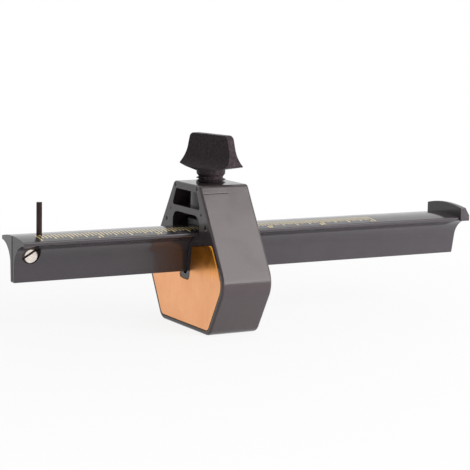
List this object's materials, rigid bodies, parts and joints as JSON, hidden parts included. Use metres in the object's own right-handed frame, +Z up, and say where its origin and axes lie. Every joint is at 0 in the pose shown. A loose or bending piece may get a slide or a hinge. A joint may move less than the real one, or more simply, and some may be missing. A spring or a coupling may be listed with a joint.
{
  "type": "marking gauge",
  "caption": "Marking gauge: a T-section beam with a scribing pin slides through a six-sided head with a metal face plate and a wing clamp knob.",
  "frame": {"origin": "centre of the flat foot under the head", "axes": "+X along the beam from the pin end to the hooked end, +Z up to the thumb knob, -Y towards the side with the pin's screw"},
  "size_m": [0.2088, 0.0638, 0.0786],
  "materials": {
    "head_plastic": "satin moulded",
    "face_metal": "rolled copper alloy",
    "beam_plastic": "polished moulded",
    "pin_steel": "dark hardened",
    "screw_nickel": "bright nickel",
    "insert_brass": "turned",
    "pad_plastic": "moulded",
    "knob_plastic": "satin moulded"
  },
  "bodies": {
    "head": {"head": "head_plastic", "face_plate": "face_metal"},
    "beam": {"beam": "beam_plastic", "pin_screw_insert": "insert_brass"},
    "pin": {"scribing_pin": "pin_steel"},
    "pin_screw": {"pin_screw": "screw_nickel"},
    "clamp_pad": {"clamp_pad": "pad_plastic"},
    "knob": {"thumb_knob": "knob_plastic"}
  },
  "joints": [
    {"name": "beam_slide", "type": "slide", "parent": "head", "child": "beam", "axis": [1, 0, 0], "range_m": [-0.1064, 0.0621]},
    {"name": "clamp_lift", "type": "slide", "parent": "head", "child": "clamp_pad", "axis": [0, 0, 1], "range_m": [0, 0.0019]},
    {"name": "knob_turn", "type": "hinge", "parent": "clamp_pad", "child": "knob", "pos_m": [0, 0, 0.07], "axis": [0, 0, 1], "range_deg": [0, 540]},
    {"name": "pin_slide", "type": "slide", "parent": "beam", "child": "pin", "axis": [0, 0, 1], "range_m": [0, 0.0025]},
    {"name": "pin_screw_turn", "type": "hinge", "parent": "beam", "child": "pin_screw", "pos_m": [-0.07931, 0, 0.0343], "axis": [0, -1, 0], "range_deg": [0, 360]}
  ],
  "couplings": [
    {"joint": "clamp_lift", "follows": "knob_turn", "m_per_rad": 0.00019894}
  ]
}
